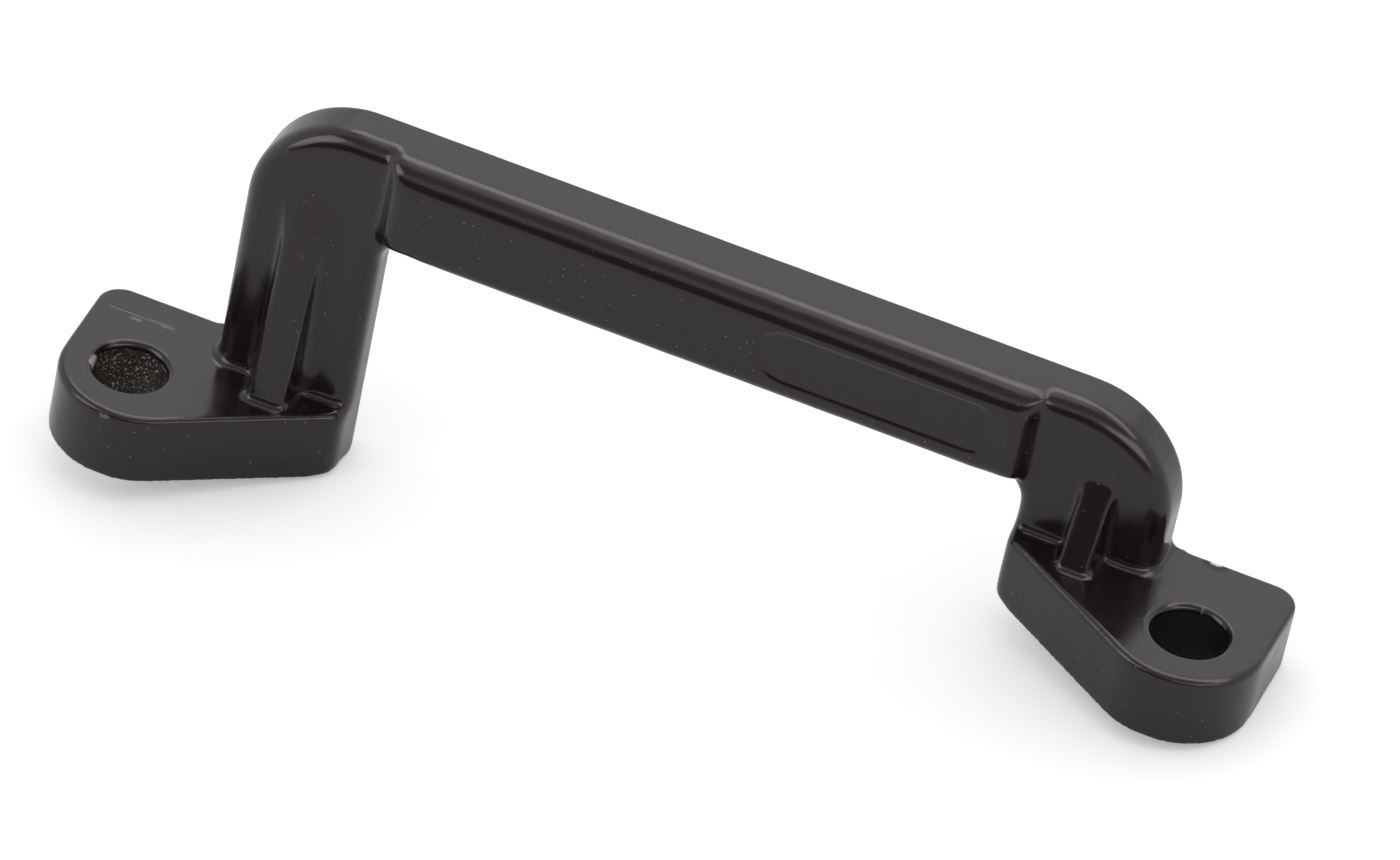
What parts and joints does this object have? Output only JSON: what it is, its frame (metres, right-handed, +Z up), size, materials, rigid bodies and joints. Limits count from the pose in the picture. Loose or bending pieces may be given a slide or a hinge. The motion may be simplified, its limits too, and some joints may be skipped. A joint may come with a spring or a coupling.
{
  "type": "lifting handle",
  "caption": "C-shaped cast lifting handle with unequal legs, ribbed at the front, on two drop-shaped screw-down feet at different heights.",
  "frame": {"origin": "on the long leg's screw hole axis, at that foot's mounting face", "axes": "+X along the handle to the short leg, +Y to the flat back, +Z up from the mounting faces to the bar"},
  "size_m": [0.1824, 0.029, 0.0576],
  "materials": {
    "paint": "black semi-gloss paint on a smooth casting"
  },
  "bodies": {
    "root": {"handle": "paint"}
  },
  "joints": []
}
